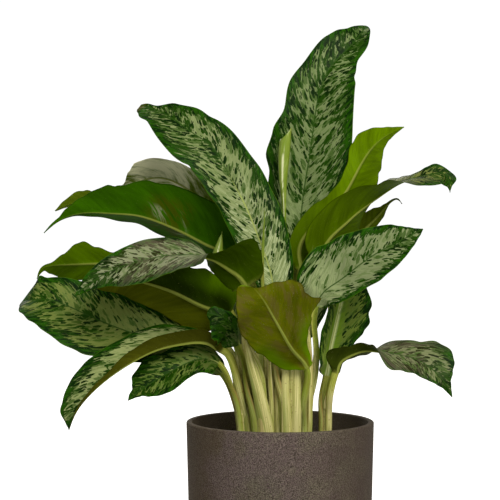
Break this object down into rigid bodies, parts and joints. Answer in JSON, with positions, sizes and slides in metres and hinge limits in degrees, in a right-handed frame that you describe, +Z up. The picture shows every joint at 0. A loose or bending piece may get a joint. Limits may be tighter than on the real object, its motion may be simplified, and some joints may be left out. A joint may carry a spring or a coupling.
{
  "type": "potted chinese evergreen",
  "caption": "Potted house plant with long silver-marked leaves on upright canes, growing from soil in a round matt charcoal pot.",
  "frame": {"origin": "centre of the pot's flat underside, at the level that it stands on", "axes": "+Z up through the pot's axis, +X to the right as the picture shows the plant, +Y away from that view"},
  "size_m": [0.5126, 0.3384, 0.679],
  "materials": {
    "pot": "matt charcoal-brown composite with a fine speckled grain",
    "soil": "dark loose potting mix with bark",
    "cane": "smooth pale green plant stem",
    "leaf": "satin leaf, silver-green above with dark green markings, plain green below",
    "young_leaf": "glossy pale yellow-green rolled leaf"
  },
  "bodies": {
    "root": {"pot": "pot", "soil": "soil", "cane_left_outer": "cane", "cane_left": "cane", "cane_front_left": "cane", "cane_front_right": "cane", "cane_back_left": "cane", "cane_back_right": "cane", "cane_right": "cane", "cane_right_outer": "cane", "leaf_tall_back": "leaf", "leaf_tall_left": "leaf", "leaf_bright_right": "leaf", "leaf_twisted_right": "leaf", "leaf_curled_right": "leaf", "leaf_silver_right": "leaf", "leaf_broad_front": "leaf", "leaf_twisted_left": "leaf", "leaf_long_left": "leaf", "leaf_arched_left": "leaf", "leaf_hooked_left": "leaf", "leaf_silver_left": "leaf", "leaf_drooping_left": "leaf", "leaf_small_left": "leaf", "leaf_shaded_left": "leaf", "leaf_green_left": "leaf", "leaf_dark_centre": "leaf", "leaf_upright_right": "leaf", "leaf_low_right": "leaf", "leaf_back_left": "leaf", "leaf_back_right": "leaf", "leaf_back_upright": "leaf", "leaf_back_low_left": "leaf", "leaf_back_low_right": "leaf", "leaf_back_low": "leaf", "young_leaf_tall": "young_leaf", "young_leaf_short": "young_leaf"}
  },
  "joints": []
}
